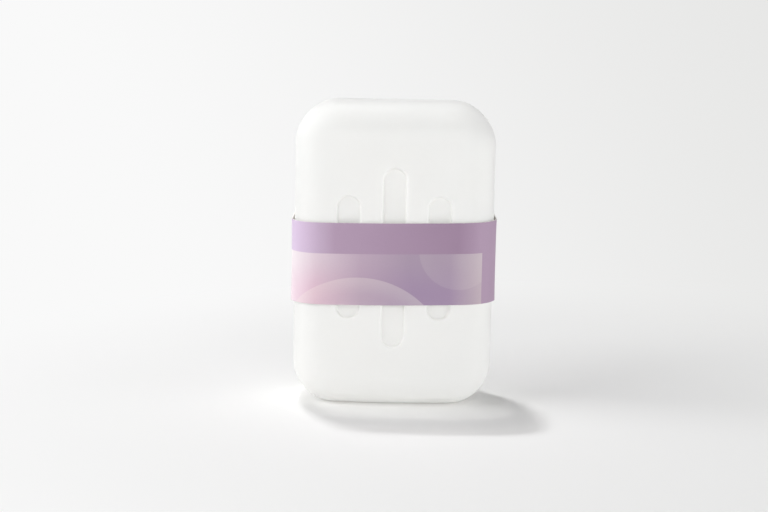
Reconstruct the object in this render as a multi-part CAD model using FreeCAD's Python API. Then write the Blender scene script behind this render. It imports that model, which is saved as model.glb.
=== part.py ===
import FreeCAD, Part
import math
import os

os.makedirs("parts", exist_ok=True)
Vector = FreeCAD.Vector

# Travel soap box that stands on one short end, in millimetres.
# X runs across the box, Z up its length and Y through its depth.
# The two halves meet at Y = 0. The lid faces -Y and the base tray faces +Y.

# Outside of the closed box
box_length = 110.0
box_width = 72.0
lid_depth = 20.0
base_depth = 20.0
corner_radius = 15.5
edge_radius = 12.0
crown_radius = 200.0

# Moulded wall, and the lap where the lid pushes over the base
wall = 1.6
rim_thickness = 0.7
lip_height = 3.0
lip_clearance = 0.1
lip_end_gap = 0.4
lip_lead_in = 0.25
split_chamfer = 0.3

# Three sunk bars in each broad face, with round ends
bar_width = 8.0
bar_pitch = 16.2
middle_bar_length = 64.0
side_bar_length = 44.0
bar_depth = 1.2
bar_mouth_round = 0.65
bar_floor_round = 0.5
rib_margin = 1.1
rib_round = 0.6

# Card band round the middle of the box, lapped and glued at the back
band_bottom = 38.2
band_height = 29.5
band_tilt = 0.9
card_thickness = 0.35
band_clearance = 0.25
lap_width = 12.0
lap_step_run = 2.5
glue_thickness = 0.1
glue_margin = 1.0

overrun = 5.0

# Worked out from the sizes above
half_width = box_width / 2
middle_height = box_length / 2
lid_side = -1
base_side = 1
depth_of = {lid_side: lid_depth, base_side: base_depth}


def rounded_block(inset, y_low, y_high):
    """The box's outline, drawn in by inset, between two depths."""
    width = box_width - 2 * inset
    length = box_length - 2 * inset
    corner = Vector(-width / 2, y_low, inset)
    block = Part.makeBox(width, y_high - y_low, length, corner)
    along_y = [e for e in block.Edges if abs(e.tangentAt(e.FirstParameter).y) > math.cos(math.radians(45))]
    return block.makeFillet(corner_radius - inset, along_y)


def reaching(shape, side):
    """The face of a shape that lies furthest out on one side of the split."""
    return max(shape.Faces, key=lambda f: side * f.CenterOfMass.y)


def half_form(side, inset, past_split=0):
    """One half of the box as a solid, drawn in by inset all over, with its broad edge rounded."""
    reach = depth_of[side] - inset
    low, high = sorted((-side * past_split, side * reach))
    form = rounded_block(inset, low, high)
    if side == lid_side:
        form = form.common(crown_drum(inset))
    return form.makeFillet(edge_radius - inset, reaching(form, side).Edges)


def crown_drum(inset):
    """A drum whose front is the lid's crowned face, drawn in by inset."""
    foot = Vector(0, crown_radius - lid_depth, -overrun)
    return Part.makeCylinder(crown_radius - inset, box_length + 2 * overrun, foot)


def chamfered_at_split(form, side):
    """The outer form with its rim broken, which draws the fine line round the closed box."""
    return form.makeChamfer(split_chamfer, reaching(form, -side).Edges)


def round_bar(x, length, width, y_low, y_high):
    """An upright bar with round ends, centred on the box's face."""
    radius = width / 2
    top = middle_height + length / 2 - radius
    bottom = middle_height - length / 2 + radius
    right, left = x + radius, x - radius
    edges = [
        Part.LineSegment(Vector(right, y_low, bottom), Vector(right, y_low, top)).toShape(),
        Part.Arc(
            Vector(right, y_low, top), Vector(x, y_low, top + radius), Vector(left, y_low, top)
        ).toShape(),
        Part.LineSegment(Vector(left, y_low, top), Vector(left, y_low, bottom)).toShape(),
        Part.Arc(
            Vector(left, y_low, bottom), Vector(x, y_low, bottom - radius), Vector(right, y_low, bottom)
        ).toShape(),
    ]
    return Part.Face(Part.Wire(edges)).extrude(Vector(0, y_high - y_low, 0))


def bars():
    """Where each bar stands across the face, and its length."""
    return [(-bar_pitch, side_bar_length), (0, middle_bar_length), (bar_pitch, side_bar_length)]


def bar_cutters(side):
    """What the mould's raised bars take out of a broad face, with a soft round at the floor."""
    floor_form = half_form(side, bar_depth)
    cutters = []
    for x, length in bars():
        ends = sorted((0, side * (depth_of[side] + overrun)))
        cutter = round_bar(x, length, bar_width, *ends).cut(floor_form)
        cutters.append(cutter.makeFillet(bar_floor_round, reaching(cutter, -side).Edges))
    return cutters


def bar_ribs(side):
    """The backs of the sunk bars, which stand up inside and keep the wall even."""
    rooted_form = half_form(side, wall / 2)
    inner_form = half_form(side, wall + bar_depth, overrun)
    ribs = []
    for x, length in bars():
        ends = sorted((0, side * depth_of[side]))
        rib = round_bar(x, length + 2 * rib_margin, bar_width + 2 * rib_margin, *ends)
        rib = rib.common(rooted_form).cut(inner_form)
        ribs.append(rib.makeFillet(rib_round, reaching(rib, -side).Edges))
    return ribs


def with_bars(shell, side):
    """A shell with its ribs added, its bars sunk and their mouths rounded."""
    shell = shell.fuse(bar_ribs(side)).removeSplitter()
    shell = shell.cut(bar_cutters(side)).removeSplitter()
    broad = max(shell.Faces, key=lambda f: f.Area)
    mouths = [e for w in broad.Wires if not w.isSame(broad.OuterWire) for e in w.Edges]
    return shell.makeFillet(bar_mouth_round, mouths)


def make_lid():
    """Front half: its rim is rebated inside, so that it pushes over the base's lip."""
    shell = chamfered_at_split(half_form(lid_side, 0), lid_side)
    shell = shell.cut(half_form(lid_side, wall, overrun))
    shell = shell.cut(rounded_block(rim_thickness, -lip_height - lip_end_gap, overrun))
    return with_bars(shell, lid_side)


def make_base_tray():
    """Back half: a thin lip stands up round the inside of its rim."""
    shell = chamfered_at_split(half_form(base_side, 0), base_side)
    lip = rounded_block(rim_thickness + lip_clearance, -lip_height, wall)
    lip = lip.makeChamfer(lip_lead_in, reaching(lip, lid_side).Edges)
    shell = shell.fuse(lip).removeSplitter()
    shell = shell.cut(half_form(base_side, wall, lip_height + overrun))
    return with_bars(shell, base_side)


def arc_in_plan(centre, radius, start, end):
    """An arc seen from above, between two angles in degrees."""
    points = []
    for angle in (start, (start + end) / 2, end):
        turn = math.radians(angle)
        points.append(Vector(centre[0] + radius * math.cos(turn), centre[1] + radius * math.sin(turn), 0))
    return Part.Arc(*points).toShape()


def line_in_plan(start, end):
    return Part.LineSegment(Vector(*start, 0), Vector(*end, 0)).toShape()


def once_round(gap, start_x, end_x):
    """The closed box's outline seen from above, a gap outside it, from one place on the back to another."""
    edge_x = half_width - edge_radius
    crown_y = crown_radius - lid_depth
    lean = math.degrees(math.asin(edge_x / (crown_radius - edge_radius)))
    front_y = crown_y - (crown_radius - edge_radius) * math.cos(math.radians(lean))
    back_y = base_depth - edge_radius
    side_x = half_width + gap
    edge = edge_radius + gap
    return [
        line_in_plan((start_x, base_depth + gap), (edge_x, base_depth + gap)),
        arc_in_plan((edge_x, back_y), edge, 90, 0),
        line_in_plan((side_x, back_y), (side_x, front_y)),
        arc_in_plan((edge_x, front_y), edge, 0, lean - 90),
        arc_in_plan((0, crown_y), crown_radius + gap, lean - 90, -lean - 90),
        arc_in_plan((-edge_x, front_y), edge, -lean - 90, -180),
        line_in_plan((-side_x, front_y), (-side_x, back_y)),
        arc_in_plan((-edge_x, back_y), edge, 180, 90),
        line_in_plan((-edge_x, base_depth + gap), (end_x, base_depth + gap)),
    ]


def band_level(thickness_from_box):
    """How far back a layer of the band's lap lies."""
    return base_depth + band_clearance + thickness_from_box


def band_slab(height):
    """The tilted slice of space that the band, or its glue, is cut to."""
    reach = half_width + overrun
    depth = base_depth + overrun
    middle = band_bottom + band_height / 2
    slab = Part.makeBox(2 * reach, 2 * depth, height, Vector(-reach, -depth, middle - height / 2))
    slab.rotate(Vector(0, 0, middle), Vector(0, 1, 0), -band_tilt)
    return slab


def upright_from(face, height):
    """A flat face seen from above, stood up through the band's height with room to trim."""
    face.translate(Vector(0, 0, band_bottom - overrun))
    return face.extrude(Vector(0, 0, height + 2 * overrun))


def make_paper_sleeve():
    """One strip of card once round the closed box, whose outer end steps up over its inner end."""
    start_x = -lap_width / 2
    end_x = lap_width / 2
    step_x = start_x - lap_step_run
    lift_x = start_x - card_thickness
    inner = band_clearance
    outer = band_clearance + card_thickness
    under = band_level(card_thickness + glue_thickness)
    over = under + card_thickness
    edges = once_round(inner, start_x, step_x) + once_round(outer, start_x, step_x)
    corners = [
        (step_x, band_level(0)),
        (lift_x, under),
        (end_x, under),
        (end_x, over),
        (lift_x, over),
        (step_x, band_level(card_thickness)),
    ]
    edges += [line_in_plan(a, b) for a, b in zip(corners, corners[1:])]
    edges.append(line_in_plan((start_x, band_level(0)), (start_x, band_level(card_thickness))))
    strip = Part.Face(Part.Wire(Part.__sortEdges__(edges)))
    return upright_from(strip, band_height).common(band_slab(band_height))


def make_sleeve_glue():
    """The thin film of glue between the two layers of the lap."""
    start_x = -lap_width / 2 + glue_margin
    end_x = lap_width / 2 - glue_margin
    low = band_level(card_thickness)
    high = low + glue_thickness
    corners = [(start_x, low), (end_x, low), (end_x, high), (start_x, high), (start_x, low)]
    edges = [line_in_plan(a, b) for a, b in zip(corners, corners[1:])]
    film = Part.Face(Part.Wire(edges))
    return upright_from(film, band_height).common(band_slab(band_height - 2 * glue_margin))


def write(name, shape):
    solid = shape.Solids[0]
    print(name, "solids", len(shape.Solids), "valid", shape.isValid(), "volume", round(solid.Volume, 1))
    shape.exportStep(f"parts/{name}.step")


write("lid", make_lid())
write("base_tray", make_base_tray())
write("paper_sleeve", make_paper_sleeve())
write("sleeve_glue", make_sleeve_glue())
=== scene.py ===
import math

import bmesh
import bpy
from mathutils import Matrix, Vector


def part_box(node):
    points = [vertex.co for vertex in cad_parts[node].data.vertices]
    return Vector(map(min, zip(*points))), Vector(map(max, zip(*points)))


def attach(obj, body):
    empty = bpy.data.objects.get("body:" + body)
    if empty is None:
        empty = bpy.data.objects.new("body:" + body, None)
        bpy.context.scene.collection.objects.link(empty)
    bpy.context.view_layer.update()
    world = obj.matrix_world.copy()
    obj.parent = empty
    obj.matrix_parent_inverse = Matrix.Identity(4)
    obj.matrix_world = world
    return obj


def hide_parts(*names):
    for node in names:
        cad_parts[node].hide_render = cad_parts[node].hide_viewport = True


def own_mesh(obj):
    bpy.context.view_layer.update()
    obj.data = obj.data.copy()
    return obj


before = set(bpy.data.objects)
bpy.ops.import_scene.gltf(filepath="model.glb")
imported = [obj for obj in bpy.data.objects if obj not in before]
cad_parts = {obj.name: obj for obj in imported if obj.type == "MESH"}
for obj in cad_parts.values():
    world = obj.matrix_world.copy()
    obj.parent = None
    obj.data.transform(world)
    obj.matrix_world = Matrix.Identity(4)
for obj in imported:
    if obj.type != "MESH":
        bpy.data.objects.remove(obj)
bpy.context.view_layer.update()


# Lid and base tray. Two thin shells of frosted polypropylene, injection moulded in a spark-roughened tool,
# which leaves a satin skin. The milky wall hides what is behind it, but glows with the light that passes
# through it. The lid pushes over a thin lip round the tray's rim.
milk_white = (241, 240, 237)
milk_cool = (239, 240, 238)
satin_roughness = (0.53, 0.6)
moulded_grain_size = 0.00035
moulded_grain_depth = 0.00002
flow_patch_size = 0.03
scuff_length = 0.012
scuff_width = 0.0006
scuff_lean = (0, 0.5, 0.3)
scuff_detail = 2
scuff_levels = (0.62, 0.78)
scuff_polish = 0.08
plastic_ior = 1.49
milkiness = 0.7
glow_depth = 0.0025
glow_spread = (1, 1, 1)
light_let_through = (0.67, 0.665, 0.66, 1)
bounced_share = 0.05

# For every surface: how fine the grain's two noises are, and the levels that most of a noise lies between.
grain_detail = 3
patch_detail = 1
noise_levels = (0.3, 0.7)


def screen_colour(levels):
    """A colour given as screen levels from 0 to 255, in the linear shares that the shader wants."""
    shares = [level / 255 for level in levels]
    return tuple(s / 12.92 if s < 0.04045 else ((s + 0.055) / 1.055) ** 2.4 for s in shares) + (1,)


def feed(tree, node, feeds):
    """Gives a node's inputs, by name or number, plain values or the outputs of other nodes."""
    for name, value in dict(feeds).items():
        if isinstance(value, bpy.types.NodeSocket):
            tree.links.new(value, node.inputs[name])
        else:
            node.inputs[name].default_value = value


def add_node(tree, kind, feeds=(), **settings):
    """Adds a node to a tree, makes its settings and feeds its inputs."""
    made = tree.nodes.new(kind)
    for name, value in settings.items():
        setattr(made, name, value)
    feed(tree, made, feeds)
    return made


def worked_out(tree, operation, *terms):
    """A number worked out from others."""
    return add_node(tree, "ShaderNodeMath", dict(enumerate(terms)), operation=operation).outputs["Value"]


def eased(tree, value, low, high, start=0.0, end=1.0):
    """A number that goes smoothly from start to end while a value goes from low to high."""
    feeds = {"Value": value, "From Min": low, "From Max": high, "To Min": start, "To Max": end}
    return add_node(tree, "ShaderNodeMapRange", feeds, interpolation_type="SMOOTHSTEP").outputs["Result"]


def mixed_colour(tree, share, first, second):
    """The first colour with a share of the second, from the Mix node's colour sockets."""
    feeds = {"Factor": share, 6: first, 7: second}
    return add_node(tree, "ShaderNodeMix", feeds, data_type="RGBA").outputs[2]


def mixed_shader(tree, share, first, second):
    """The first shader with a share of the second."""
    return add_node(tree, "ShaderNodeMixShader", {0: share, 1: first, 2: second}).outputs["Shader"]


def relief(tree, height, depth):
    """The normal of a fine relief, whose height goes from 0 to 1 and is so deep in metres."""
    return add_node(tree, "ShaderNodeBump", {"Height": height, "Distance": depth}).outputs["Normal"]


def make_grain_group():
    """Fine grain and slow patches of a dull surface, both from 0 to 1, on the piece's own coordinates."""
    group = bpy.data.node_groups.new("fine_grain", "ShaderNodeTree")
    for name in ("Grain Size", "Patch Size"):
        group.interface.new_socket(name, in_out="INPUT", socket_type="NodeSocketFloat")
    for name in ("Grain", "Patches"):
        group.interface.new_socket(name, in_out="OUTPUT", socket_type="NodeSocketFloat")
    given = add_node(group, "NodeGroupInput")
    put_out = add_node(group, "NodeGroupOutput")
    place = add_node(group, "ShaderNodeTexCoord").outputs["Object"]
    noises = [("Grain Size", "Grain", grain_detail), ("Patch Size", "Patches", patch_detail)]
    for size, result, detail in noises:
        per_metre = worked_out(group, "DIVIDE", 1, given.outputs[size])
        feeds = {"Vector": place, "Scale": per_metre, "Detail": detail}
        feed(group, put_out, {result: add_node(group, "ShaderNodeTexNoise", feeds).outputs["Fac"]})
    return group


def grain_in(tree, grain_size, patch_size):
    """Places the grain group in a material with that surface's own sizes."""
    placed = add_node(tree, "ShaderNodeGroup", node_tree=grain_group)
    feed(tree, placed, {"Grain Size": grain_size, "Patch Size": patch_size})
    return placed


def new_material(name):
    """A fresh material, with its node tree and its one Principled shader."""
    material = bpy.data.materials.new(name)
    material.use_nodes = True
    return material, material.node_tree, material.node_tree.nodes["Principled BSDF"]


def scuffs_in(tree):
    """Long faint rubbed streaks across the box, from 0 to 1."""
    place = add_node(tree, "ShaderNodeTexCoord").outputs["Object"]
    stretch = (1 / scuff_length, 1 / scuff_width, 1 / scuff_width)
    feeds = {"Vector": place, "Rotation": scuff_lean, "Scale": stretch}
    drawn = add_node(tree, "ShaderNodeMapping", feeds).outputs["Vector"]
    streaks = add_node(tree, "ShaderNodeTexNoise", {"Vector": drawn, "Scale": 1, "Detail": scuff_detail})
    return eased(tree, streaks.outputs["Fac"], *scuff_levels)


def make_frosted_plastic():
    """Milky satin plastic. The lamps shine through its wall, and a little of the bounced light does too."""
    material, tree, shader = new_material("frosted_polypropylene")
    grain = grain_in(tree, moulded_grain_size, flow_patch_size)
    patches = grain.outputs["Patches"]
    satin = eased(tree, patches, *noise_levels, *satin_roughness)
    feed(tree, shader, {
        "Base Color": mixed_colour(tree, patches, screen_colour(milk_white), screen_colour(milk_cool)),
        "Roughness": worked_out(tree, "MULTIPLY_ADD", scuffs_in(tree), -scuff_polish, satin),
        "Normal": relief(tree, grain.outputs["Grain"], moulded_grain_depth),
        "IOR": plastic_ior,
        "Subsurface Weight": milkiness,
        "Subsurface Radius": glow_spread,
        "Subsurface Scale": glow_depth,
    })
    clear = add_node(tree, "ShaderNodeBsdfTransparent", {"Color": light_let_through}).outputs["BSDF"]
    rays = add_node(tree, "ShaderNodeLightPath")
    milky = shader.outputs["BSDF"]
    partly_clear = mixed_shader(tree, bounced_share, milky, clear)
    shown = mixed_shader(tree, rays.outputs["Is Diffuse Ray"], milky, partly_clear)
    shown = mixed_shader(tree, rays.outputs["Is Shadow Ray"], shown, clear)
    feed(tree, tree.nodes["Material Output"], {"Surface": shown})
    return material


grain_group = make_grain_group()
frosted_plastic = make_frosted_plastic()
for half in ("lid", "base_tray"):
    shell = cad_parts[half]
    shell.data.materials.clear()
    shell.data.materials.append(frosted_plastic)


# Card band. One strip of thin card, printed on its outside, wrapped once round the closed box and lapped at
# the back. It follows the box a hair's breadth outside it and bows out a little at the sides, and its long
# edges stand off slightly.
band_height = 0.0295
band_tilt = math.radians(0.9)
card_thickness = 0.00035
band_clearance = 0.00025
glue_thickness = 0.0001
lap_half_width = 0.006
lap_step_run = 0.0025
edge_radius = 0.012
crown_radius = 0.2
edge_lift = 0.0001
side_bow = 0.0004
bend_sharpness = 4
crease_angle = math.radians(40)

lid_low, lid_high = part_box("lid")
tray_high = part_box("base_tray")[1]
band_low, band_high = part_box("paper_sleeve")
half_width = lid_high.x
band_middle = (band_low.z + band_high.z) / 2

# The mesh: its steps round the box, stretch by stretch, its rows up the band, and its two materials.
front_steps = 24
edge_steps = 14
side_steps = 6
back_steps = 4
lap_step_steps = 4
lap_steps = 8
band_rows = 10
printed_side = 0
bare_side = 1


def half_turn_path(gap):
    """Half the strip's way round the box, from the middle of its front to its end past the back's middle.

    Each entry holds the distance run, the place seen from above, and the way out from the box there."""
    edge_x = half_width - edge_radius
    crown_reach = crown_radius - edge_radius
    lean = math.asin(edge_x / crown_reach)
    front_y = lid_low.y + crown_radius - crown_reach * math.cos(lean)
    back_y = tray_high.y - edge_radius
    stretches = [
        (front_steps, crown_radius + gap, lean),
        (edge_steps, edge_radius + gap, math.pi / 2 - lean),
        (side_steps, back_y - front_y, 0),
        (edge_steps, edge_radius + gap, math.pi / 2),
        (back_steps, edge_x - lap_half_width - lap_step_run, 0),
        (lap_step_steps, lap_step_run, 0),
        (lap_steps, 2 * lap_half_width, 0),
    ]
    run, place, heading = 0.0, Vector((0, lid_low.y - gap)), 0.0
    path = [(run, place.copy(), Vector((0, -1)))]
    for steps, radius_or_length, turn in stretches:
        bend = turn / steps
        for _ in range(steps):
            if turn:
                run += radius_or_length * bend
                stride = 2 * radius_or_length * math.sin(bend / 2)
            else:
                stride = radius_or_length / steps
                run += stride
            place += stride * Vector((math.cos(heading + bend / 2), math.sin(heading + bend / 2)))
            heading += bend
            path.append((run, place.copy(), Vector((math.sin(heading), -math.cos(heading)))))
    return path


def smooth_step(share):
    """A share from 0 to 1 that starts and ends gently."""
    share = min(max(share, 0), 1)
    return share * share * (3 - 2 * share)


def strip_columns():
    """The strip from its inner end to its outer end: distance run, place and way out for each column.

    The outer end is the mirrored half, and steps up over the inner end and the glue at the back."""
    half = half_turn_path(band_clearance)
    columns = list(reversed(half))
    for run, place, out in half[1:]:
        place = Vector((-place.x, place.y))
        out = Vector((-out.x, out.y))
        if place.y > 0:
            climb = (place.x + lap_half_width + lap_step_run) / lap_step_run
            place += out * (card_thickness + glue_thickness) * smooth_step(climb)
        columns.append((-run, place, out))
    return columns


def stand_off(place, out, height_share):
    """How far the card stands off beyond its clearance: at its long edges and at the box's sides."""
    near_lap = abs(place.x) < 2 * lap_half_width and place.y > 0
    if near_lap:
        return 0
    to_edge = abs(2 * height_share - 1)
    return edge_lift * to_edge ** bend_sharpness + side_bow * abs(out.x) ** bend_sharpness


def lay_points(form, columns, outward):
    """One side of the strip as columns of points, so far outward from the strip's inside."""
    grid = []
    for _, place, out in columns:
        column = []
        for row in range(band_rows + 1):
            height_share = row / band_rows
            spot = place + out * (outward + stand_off(place, out, height_share))
            level = band_middle + (height_share - 0.5) * band_height + spot.x * math.tan(band_tilt)
            column.append(form.verts.new((spot.x, spot.y, level)))
        grid.append(column)
    return grid


def finished_mesh(form, name):
    """Turns a form into a mesh and lets the form go."""
    mesh = bpy.data.meshes.new(name)
    form.to_mesh(mesh)
    form.free()
    return mesh


def add_to_scene(name, data):
    """Puts a mesh, a lamp or a camera into the scene as an object."""
    made = bpy.data.objects.new(name, data)
    bpy.context.scene.collection.objects.link(made)
    return made


def build_band(columns):
    """The strip as a closed solid: its printed outside, its bare inside and its cut edges."""
    form = bmesh.new()
    wrap = form.loops.layers.uv.new("wrap")
    outside = lay_points(form, columns, card_thickness)
    inside = lay_points(form, columns, 0)
    last = len(columns) - 1

    def add_face(corners, side):
        """A face through corners that are each a grid, a column and a row."""
        made = form.faces.new([grid[c][r] for grid, c, r in corners])
        made.smooth = True
        made.material_index = side
        for loop, (_, c, r) in zip(made.loops, corners):
            loop[wrap].uv = ((columns[c][0] - outer_end) / band_length, r / band_rows)

    for c in range(last):
        for r in range(band_rows):
            square = [(c, r), (c, r + 1), (c + 1, r + 1), (c + 1, r)]
            add_face([(outside, *corner) for corner in square], printed_side)
            add_face([(inside, *corner) for corner in reversed(square)], bare_side)
        for r in (0, band_rows):
            edge = [(outside, c, r), (outside, c + 1, r), (inside, c + 1, r), (inside, c, r)]
            add_face(edge if r == 0 else edge[::-1], bare_side)
    for c in (0, last):
        for r in range(band_rows):
            end = [(outside, c, r), (inside, c, r), (inside, c, r + 1), (outside, c, r + 1)]
            add_face(end if c == 0 else end[::-1], bare_side)
    bmesh.ops.recalc_face_normals(form, faces=form.faces)
    mesh = finished_mesh(form, "card_band")
    mesh.set_sharp_from_angle(angle=crease_angle)
    return add_to_scene("card_band", mesh)


# The card itself, and its print. Places along the band are measured from the middle of the box's front, and
# places up it from its lower edge.
card_white = (242, 239, 236)
card_fleck = (222, 215, 206)
card_roughness = (0.5, 0.6)
bare_card_shine = 0.3
printed_card_shine = 0.4
fibre_size = 0.0002
fibre_depth = 0.000012
fibre_brightness = (0.975, 1.02)
card_patch_size = 0.014
fleck_size = 3 * fibre_size
fleck_levels = (0.55, 0.8)
edge_wear = 0.0003
edge_wear_size = 0.0012
print_blur = 0.00012
strip_bottom = 0.01835
panel_mix_low = 0.003
panel_left = -0.062
panel_right = 0.0319

mauve = (173, 148, 172)
pale_mauve_and_painted_highlight = (221, 200, 227)
deep_mauve_and_painted_shade = (154, 128, 153)
# Partly print, partly painted light: the strip is palest where it turns round the left side, darkens across
# the front towards the right, and grows lighter again round the right side.
strip_inks = [
    (-0.085, mauve),
    (-0.05, pale_mauve_and_painted_highlight),
    (-0.038, pale_mauve_and_painted_highlight),
    (-0.021, mauve),
    (0.023, deep_mauve_and_painted_shade),
    (0.031, mauve),
]

haze = (226, 209, 222)
blush_and_painted_highlight = (250, 242, 245)
heather = (218, 200, 210)
dusk = (184, 162, 180)
plum = (164, 145, 165)
pale_plum_and_painted_highlight = (197, 182, 190)
pale_rose_and_painted_highlight = (250, 231, 240)
rose = (214, 180, 197)
violet_dusk = (175, 150, 172)
violet = (158, 136, 164)
pale_violet_and_painted_highlight = (191, 174, 183)
# Partly print, partly painted light: the panel is palest where it turns round the left side, darkens
# towards the front's right, and grows lighter again round the right side.
panel_places = (-0.062, -0.042, -0.028, -0.012, 0.006, 0.02, 0.032)
panel_top_inks = (haze, blush_and_painted_highlight, heather, dusk, plum, plum, pale_plum_and_painted_highlight)
panel_foot_inks = (haze, pale_rose_and_painted_highlight, rose, violet_dusk, violet, violet, pale_violet_and_painted_highlight)

# The two discs, with how strong each is at its rim and further in.
disc_tint = (245, 238, 228)
disc_fade = 0.007
low_disc_centre = (-0.0127, -0.0235)
low_disc_radius = 0.0335
low_disc_strengths = (0.22, 0.1)
high_disc_centre = (0.0235, 0.02)
high_disc_radius = 0.0146
high_disc_strengths = (0.07, 0.04)


def add_ramp(tree, along, stops):
    """A colour that runs along the band through stops, each a distance from the front's middle and ink."""
    first, last = stops[0][0], stops[-1][0]
    feeds = {"Value": along, "From Min": first, "From Max": last}
    share = add_node(tree, "ShaderNodeMapRange", feeds).outputs["Result"]
    ramp = add_node(tree, "ShaderNodeValToRGB", {"Fac": share})
    steps = ramp.color_ramp.elements
    # A fresh ramp has two steps. The others start halfway and are put in their places below.
    for _ in stops[2:]:
        steps.new(0.5)
    for step, (distance, colour) in zip(steps, stops):
        step.position = (distance - first) / (last - first)
        step.color = screen_colour(colour)
    return ramp.outputs["Color"]


def with_disc(tree, under, along, up, centre, radius, strengths):
    """A pale see-through disc laid over the print, strongest just inside its rim."""
    across = worked_out(tree, "SUBTRACT", along, centre[0])
    above = worked_out(tree, "SUBTRACT", up, centre[1])
    across_squared = worked_out(tree, "POWER", across, 2)
    above_squared = worked_out(tree, "POWER", above, 2)
    from_centre = worked_out(tree, "SQRT", worked_out(tree, "ADD", across_squared, above_squared))
    depth = worked_out(tree, "SUBTRACT", radius, from_centre)
    strength = eased(tree, depth, 0, disc_fade, *strengths)
    share = worked_out(tree, "MULTIPLY", strength, eased(tree, depth, 0, print_blur))
    return mixed_colour(tree, share, under, screen_colour(disc_tint))


def put_on_card(tree, shader, colour, shine):
    """Gives a shader a colour on card, whose fibres show in both colour and relief."""
    grain = grain_in(tree, fibre_size, card_patch_size)
    brightness = eased(tree, grain.outputs["Grain"], *noise_levels, *fibre_brightness)
    mottled = add_node(tree, "ShaderNodeHueSaturation", {"Color": colour, "Value": brightness})
    feed(tree, shader, {
        "Base Color": mottled.outputs["Color"],
        "Roughness": eased(tree, grain.outputs["Patches"], *noise_levels, *card_roughness),
        "Normal": relief(tree, grain.outputs["Grain"], fibre_depth),
        "Specular IOR Level": shine,
    })


def make_bare_card():
    """The card's unprinted inside and its cut edges."""
    material, tree, shader = new_material("bare_card")
    grain = grain_in(tree, fleck_size, card_patch_size)
    flecks = eased(tree, grain.outputs["Grain"], *fleck_levels)
    flecked = mixed_colour(tree, flecks, screen_colour(card_white), screen_colour(card_fleck))
    put_on_card(tree, shader, flecked, bare_card_shine)
    return material


def make_printed_card():
    """A mauve strip along the top, with a pale panel under it that runs off round the left side. Both inks
    carry painted light, lighter where the band turns round its sides. Two soft discs lie over the panel,
    and the ink is worn along the strip's long edges."""
    material, tree, shader = new_material("printed_card")
    wrap = add_node(tree, "ShaderNodeUVMap", uv_map="wrap").outputs["UV"]
    spot = add_node(tree, "ShaderNodeSeparateXYZ", {"Vector": wrap})
    along = worked_out(tree, "MULTIPLY_ADD", spot.outputs["X"], band_length, outer_end)
    up = worked_out(tree, "MULTIPLY", spot.outputs["Y"], band_height)

    upper = add_ramp(tree, along, list(zip(panel_places, panel_top_inks)))
    lower = add_ramp(tree, along, list(zip(panel_places, panel_foot_inks)))
    panel = mixed_colour(tree, eased(tree, up, panel_mix_low, strip_bottom), lower, upper)
    panel = with_disc(tree, panel, along, up, low_disc_centre, low_disc_radius, low_disc_strengths)
    panel = with_disc(tree, panel, along, up, high_disc_centre, high_disc_radius, high_disc_strengths)

    below_strip = eased(tree, up, strip_bottom, strip_bottom + print_blur, 1, 0)
    before_right = eased(tree, along, panel_right, panel_right + print_blur, 1, 0)
    after_left = eased(tree, along, panel_left, panel_left + print_blur)
    in_panel = worked_out(tree, "MULTIPLY", below_strip, before_right)
    in_panel = worked_out(tree, "MULTIPLY", in_panel, after_left)
    ink = mixed_colour(tree, in_panel, add_ramp(tree, along, strip_inks), panel)

    from_edge = worked_out(tree, "MINIMUM", up, worked_out(tree, "SUBTRACT", band_height, up))
    wear = grain_in(tree, edge_wear_size, card_patch_size).outputs["Grain"]
    left_by_wear = worked_out(tree, "MULTIPLY_ADD", wear, -edge_wear, from_edge)
    worn = eased(tree, left_by_wear, -edge_wear, 0, 1, 0)
    put_on_card(tree, shader, mixed_colour(tree, worn, ink, screen_colour(card_white)), printed_card_shine)
    return material


band_columns = strip_columns()
outer_end = band_columns[-1][0]
band_length = band_columns[0][0] - outer_end
band = build_band(band_columns)
band.data.materials.append(make_printed_card())
band.data.materials.append(make_bare_card())
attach(band, "band")
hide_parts("paper_sleeve")
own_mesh(band)


# Glue film. The thin film of clear packing glue that holds the strip's outer end down on its inner end. It
# is rolled on in one line, pressed flat inside the lap, and dries a little yellow where it lies thicker.
glue_fresh = (232, 228, 212)
glue_thick = (214, 204, 172)
glue_roughness = (0.25, 0.45)
glue_grain_size = 0.0004
glue_pool_size = 0.003
glue_pool_depth = 0.00004


def make_dried_glue():
    """Clear glue that has run into shallow pools."""
    material, tree, shader = new_material("dried_glue")
    pools = grain_in(tree, glue_grain_size, glue_pool_size).outputs["Patches"]
    feed(tree, shader, {
        "Base Color": mixed_colour(tree, pools, screen_colour(glue_fresh), screen_colour(glue_thick)),
        "Roughness": eased(tree, pools, *noise_levels, *glue_roughness),
        "Normal": relief(tree, pools, glue_pool_depth),
    })
    return material


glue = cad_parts["sleeve_glue"]
glue.data.materials.clear()
glue.data.materials.append(make_dried_glue())


# Sheet. One wide, pale sheet of paper, laid flat, that the box stands on. Away from the box it melts into
# the backdrop's colour, so that no edge or horizon shows.
sheet_white = (250, 250, 249)
sheet_roughness = 0.9
sheet_shine = 0.2
sheet_half_width = 6.0
melt_middle = (0.08, -0.03, 0)
melt_start = 0.1
melt_end = 0.3

# The backdrop's colours and the direction in which it grows dim. What the sheet shows of it is always
# reckoned from the usual eye, wherever the camera stands.
backdrop_bright = (249, 249, 249)
backdrop_dim = (231, 231, 230)
backdrop_fall = (1, 0, 0.35)
backdrop_fall_range = (-0.22, 0.28)
usual_eye = (0, -0.6, 0.144)


def build_sheet():
    """The sheet as one flat face."""
    form = bmesh.new()
    reach = sheet_half_width
    corners = [(-reach, -reach), (reach, -reach), (reach, reach), (-reach, reach)]
    form.faces.new([form.verts.new((x, y, 0)) for x, y in corners])
    return add_to_scene("sheet", finished_mesh(form, "sheet"))


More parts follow.
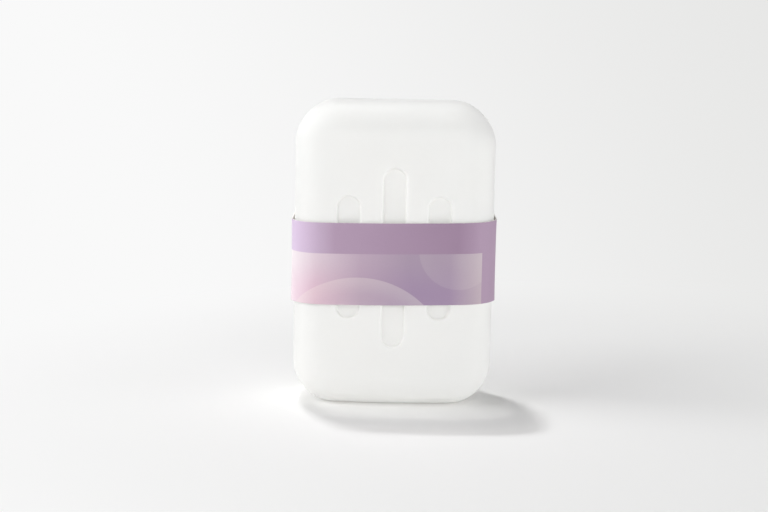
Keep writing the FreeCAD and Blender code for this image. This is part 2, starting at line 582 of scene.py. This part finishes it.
def vector_work(tree, operation, *vectors):
    """The outputs of a node that works on one or two vectors."""
    return add_node(tree, "ShaderNodeVectorMath", dict(enumerate(vectors)), operation=operation).outputs


def seen_rays(tree):
    """1 for the rays that show how a surface looks: straight to the camera, mirrored, or passed through."""
    rays = add_node(tree, "ShaderNodeLightPath").outputs
    seen_or_mirrored = worked_out(tree, "MAXIMUM", rays["Is Camera Ray"], rays["Is Glossy Ray"])
    return worked_out(tree, "MAXIMUM", seen_or_mirrored, rays["Is Transmission Ray"])


def backdrop_tint(tree, way):
    """The pale backdrop's colour in a direction. It falls off towards the right and the top."""
    towards_dim = vector_work(tree, "DOT_PRODUCT", way, backdrop_fall)["Value"]
    fade = eased(tree, towards_dim, *backdrop_fall_range)
    return mixed_colour(tree, fade, screen_colour(backdrop_bright), screen_colour(backdrop_dim))


def make_sheet_paper():
    """Dull white paper that takes the box's shadow. Further off it is shown in the backdrop's colour."""
    material, tree, shader = new_material("sheet_paper")
    feed(tree, shader, {
        "Base Color": screen_colour(sheet_white),
        "Roughness": sheet_roughness,
        "Specular IOR Level": sheet_shine,
    })
    place = add_node(tree, "ShaderNodeTexCoord").outputs["Object"]
    away = vector_work(tree, "DISTANCE", place, melt_middle)["Value"]
    melted = worked_out(tree, "MULTIPLY", eased(tree, away, melt_start, melt_end), seen_rays(tree))
    from_eye = vector_work(tree, "SUBTRACT", place, usual_eye)["Vector"]
    way = vector_work(tree, "NORMALIZE", from_eye)["Vector"]
    glow = add_node(tree, "ShaderNodeEmission", {"Color": backdrop_tint(tree, way)}).outputs["Emission"]
    shown = mixed_shader(tree, melted, shader.outputs["BSDF"], glow)
    feed(tree, tree.nodes["Material Output"], {"Surface": shown})
    return material


sheet = build_sheet()
sheet.data.materials.append(make_sheet_paper())


# Lamps. A small one far up behind the box, a broad soft one on the left, and weaker ones in front and low
# on the right. Each has a rectangular front and faces the middle of the box.
box_middle = Vector((0, 0, lid_high.z / 2))


def add_lamp(name, place, width, height, watts):
    """A soft lamp with a rectangular front, turned to face the box."""
    data = bpy.data.lights.new(name, "AREA")
    data.shape = "RECTANGLE"
    data.size = width
    data.size_y = height
    data.energy = watts
    lamp = add_to_scene(name, data)
    lamp.location = place
    lamp.rotation_euler = (box_middle - Vector(place)).to_track_quat("-Z", "Y").to_euler()


add_lamp("high_lamp", place=(-0.36, 0.72, 2.2), width=0.2, height=0.11, watts=20.4)
add_lamp("left_lamp", place=(-1.2, -0.38, 0.97), width=1.4, height=0.8, watts=12.7)
add_lamp("front_lamp", place=(0.15, -1.8, 0.57), width=1.2, height=1.0, watts=8.8)
add_lamp("right_lamp", place=(1.55, -0.4, 0.2), width=1.0, height=0.3, watts=7.0)


# Room. Pale walls all round, a little brighter on the left, that light the box from low down under a dim
# ceiling. Where the camera looks past the sheet it sees the pale backdrop instead.
wall_light = (252, 252, 255)
wall_level = 0.8
ceiling_level = 0.05
wall_slope = (0.15, 0.6)
bright_side = (-0.95, 0.3, 0)
side_range = (-0.9, 0.9)
dim_side_share = 0.85


def make_room():
    """The room's walls and ceiling as light, and the backdrop as what the camera sees."""
    room = bpy.data.worlds.new("pale_room")
    room.use_nodes = True
    tree = room.node_tree
    way = add_node(tree, "ShaderNodeTexCoord").outputs["Generated"]
    height = add_node(tree, "ShaderNodeSeparateXYZ", {"Vector": way}).outputs["Z"]
    from_walls = eased(tree, height, *wall_slope, wall_level, ceiling_level)
    towards_bright = vector_work(tree, "DOT_PRODUCT", way, bright_side)["Value"]
    side_share = eased(tree, towards_bright, *side_range, dim_side_share, 1)
    light = tree.nodes["Background"]
    feed(tree, light, {
        "Color": screen_colour(wall_light),
        "Strength": worked_out(tree, "MULTIPLY", from_walls, side_share),
    })
    backdrop = add_node(tree, "ShaderNodeBackground", {"Color": backdrop_tint(tree, way)})
    shown = mixed_shader(tree, seen_rays(tree), light.outputs["Background"], backdrop.outputs["Background"])
    feed(tree, tree.nodes["World Output"], {"Surface": shown})
    return room


bpy.context.scene.world = make_room()


# Camera. It stands about 0.6 m in front of the box, looks slightly down at the lid's face, and is turned a
# little off level.
camera_place = (-0.00347, -0.6027, 0.144)
camera_down = math.radians(8.6)
camera_roll = math.radians(1.1)
lens_length = 77.8
film_width = 36
sight_limit = 20

camera_data = bpy.data.cameras.new("camera")
camera_data.lens = lens_length
camera_data.sensor_width = film_width
camera_data.clip_end = sight_limit
camera = add_to_scene("camera", camera_data)
looking_down = Matrix.Rotation(math.pi / 2 - camera_down, 4, "X")
rolled = Matrix.Rotation(camera_roll, 4, "Z")
camera.matrix_world = Matrix.Translation(camera_place) @ looking_down @ rolled
bpy.context.scene.camera = camera

bpy.context.scene.view_settings.view_transform = "Standard"
